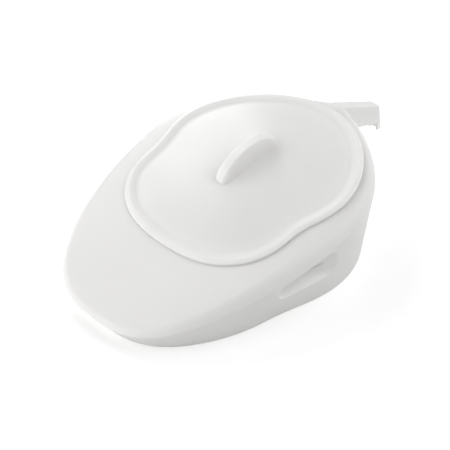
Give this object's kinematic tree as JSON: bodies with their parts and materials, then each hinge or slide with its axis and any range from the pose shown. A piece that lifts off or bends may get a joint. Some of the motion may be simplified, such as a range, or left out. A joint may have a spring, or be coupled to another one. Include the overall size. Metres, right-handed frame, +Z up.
{
  "type": "bedpan",
  "caption": "Wedge-shaped plastic bedpan with a sloping seat, a deep bowl, finger recesses, a hooked rear handle and a domed lift-off lid with a grip.",
  "frame": {"origin": "centre of the bounding box's bottom face, on the surface that the pan rests on", "axes": "+X the right side, +Y the rear end with the handle, +Z up"},
  "size_m": [0.288, 0.447, 0.1274],
  "materials": {
    "pan_plastic": "satin moulded plastic, warm white",
    "lid_plastic": "satin moulded plastic, warm white"
  },
  "bodies": {
    "pan": {"pan": "pan_plastic"},
    "lid": {"lid": "lid_plastic"}
  },
  "joints": [
    {"name": "lid_lift", "type": "slide", "parent": "pan", "child": "lid", "axis": [0, 0, 1], "range_m": [0, 0.16]}
  ]
}
